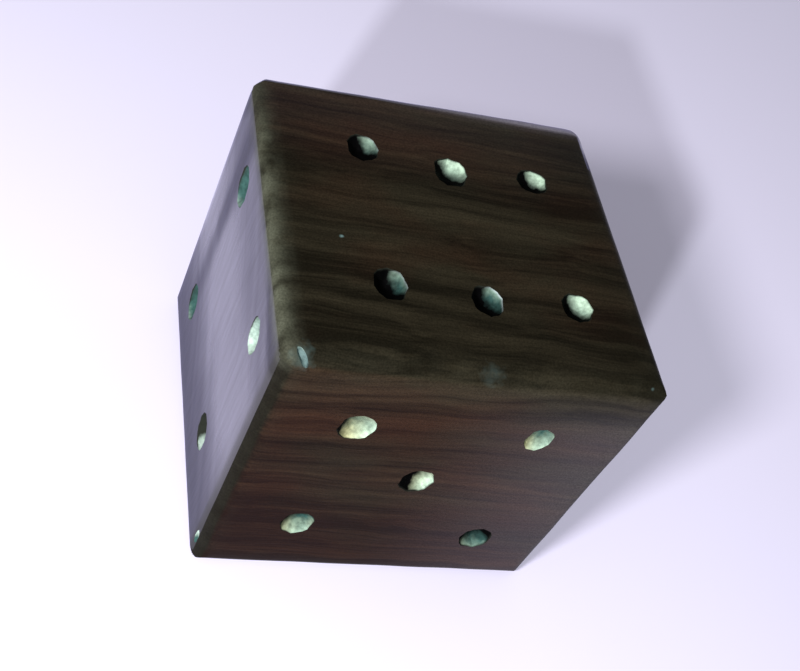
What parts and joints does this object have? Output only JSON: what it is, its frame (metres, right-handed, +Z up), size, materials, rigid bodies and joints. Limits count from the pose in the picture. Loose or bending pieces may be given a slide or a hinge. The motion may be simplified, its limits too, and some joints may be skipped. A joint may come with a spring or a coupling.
{
  "type": "wooden die",
  "caption": "Solid block of dark stained, varnished wood with rounded edges and pits cut by hand in each face as pips, for throwing.",
  "frame": {"origin": "middle of the face that the die rests on, which has a single pip", "axes": "+Z up to the face with six pips, +X along the grain, -Y out of the face with five pips, -X out of the face with four pips"},
  "size_m": [0.094, 0.089, 0.089],
  "materials": {
    "stained_wood": "dark stain under gloss varnish, with pale dabs in the pits"
  },
  "bodies": {
    "root": {"die": "stained_wood"}
  },
  "joints": []
}
